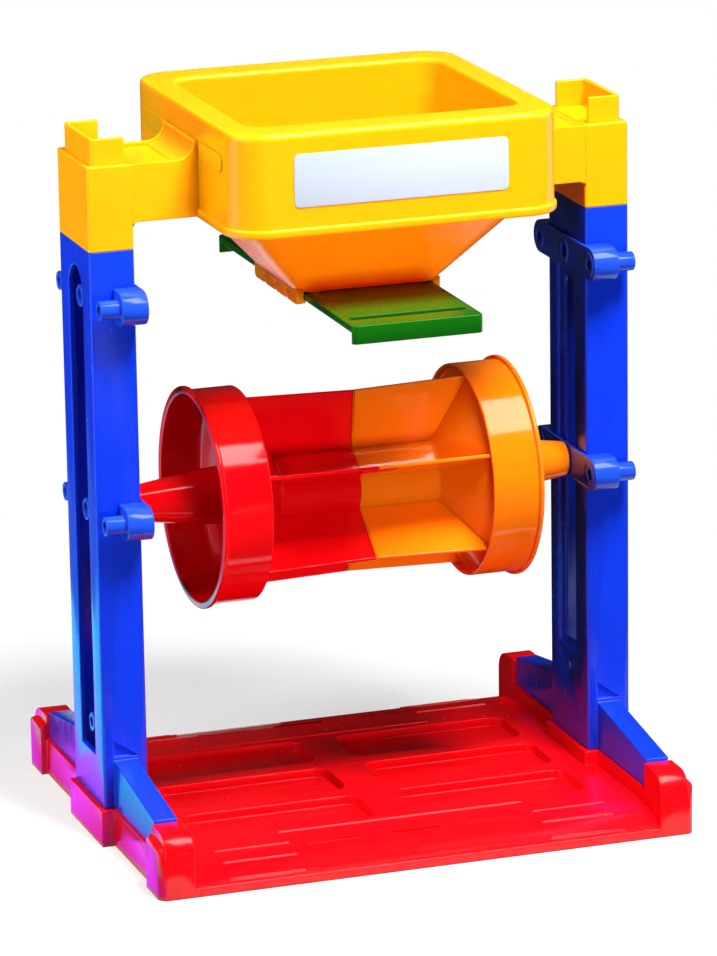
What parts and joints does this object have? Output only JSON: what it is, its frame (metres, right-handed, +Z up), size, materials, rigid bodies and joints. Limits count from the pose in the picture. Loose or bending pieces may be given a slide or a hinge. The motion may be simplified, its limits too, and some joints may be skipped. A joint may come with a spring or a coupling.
{
  "type": "sand and water mill",
  "caption": "Moulded sand and water mill: a hopper with a slide gate on slotted posts feeds a two-part paddle wheel in sliding brackets above a flat base.",
  "frame": {"origin": "bottom centre of the base, on the ground", "axes": "+Z up, +X to the right, -Y to the front, where the label is"},
  "size_m": [0.3112, 0.254, 0.4],
  "materials": {
    "base_red": "moulded polypropylene, satin gloss",
    "post_blue": "moulded polypropylene, satin gloss",
    "bracket_blue": "moulded polypropylene, gloss",
    "wheel_red": "moulded polypropylene, gloss",
    "wheel_orange": "moulded polypropylene, gloss",
    "hopper_yellow": "moulded polypropylene, satin gloss",
    "label_white": "plain printed film, bare",
    "gate_green": "moulded polypropylene, satin gloss"
  },
  "bodies": {
    "frame": {"base": "base_red", "left_post": "post_blue", "right_post": "post_blue", "left_stop_peg": "bracket_blue", "right_stop_peg": "bracket_blue", "upper_left_bracket": "bracket_blue", "upper_right_bracket": "bracket_blue", "hopper": "hopper_yellow", "hopper_label": "label_white"},
    "left_slider": {"lower_left_bracket": "bracket_blue"},
    "right_slider": {"lower_right_bracket": "bracket_blue"},
    "wheel": {"wheel_left_half": "wheel_red", "wheel_right_half": "wheel_orange"},
    "gate": {"gate": "gate_green"}
  },
  "joints": [
    {"name": "left_bracket_slide", "type": "slide", "parent": "frame", "child": "left_slider", "axis": [0, 0, 1], "range_m": [-0.097, 0.044]},
    {"name": "right_bracket_slide", "type": "slide", "parent": "frame", "child": "right_slider", "axis": [0, 0, 1], "range_m": [-0.097, 0.044]},
    {"name": "wheel_spin", "type": "hinge", "parent": "left_slider", "child": "wheel", "pos_m": [0, 0, 0.1825], "axis": [1, 0, 0], "continuous": true},
    {"name": "gate_slide", "type": "slide", "parent": "frame", "child": "gate", "axis": [0, 1, 0], "range_m": [-0.076, 0.076]}
  ],
  "couplings": [
    {"joint": "right_bracket_slide", "follows": "left_bracket_slide", "ratio": 1}
  ]
}
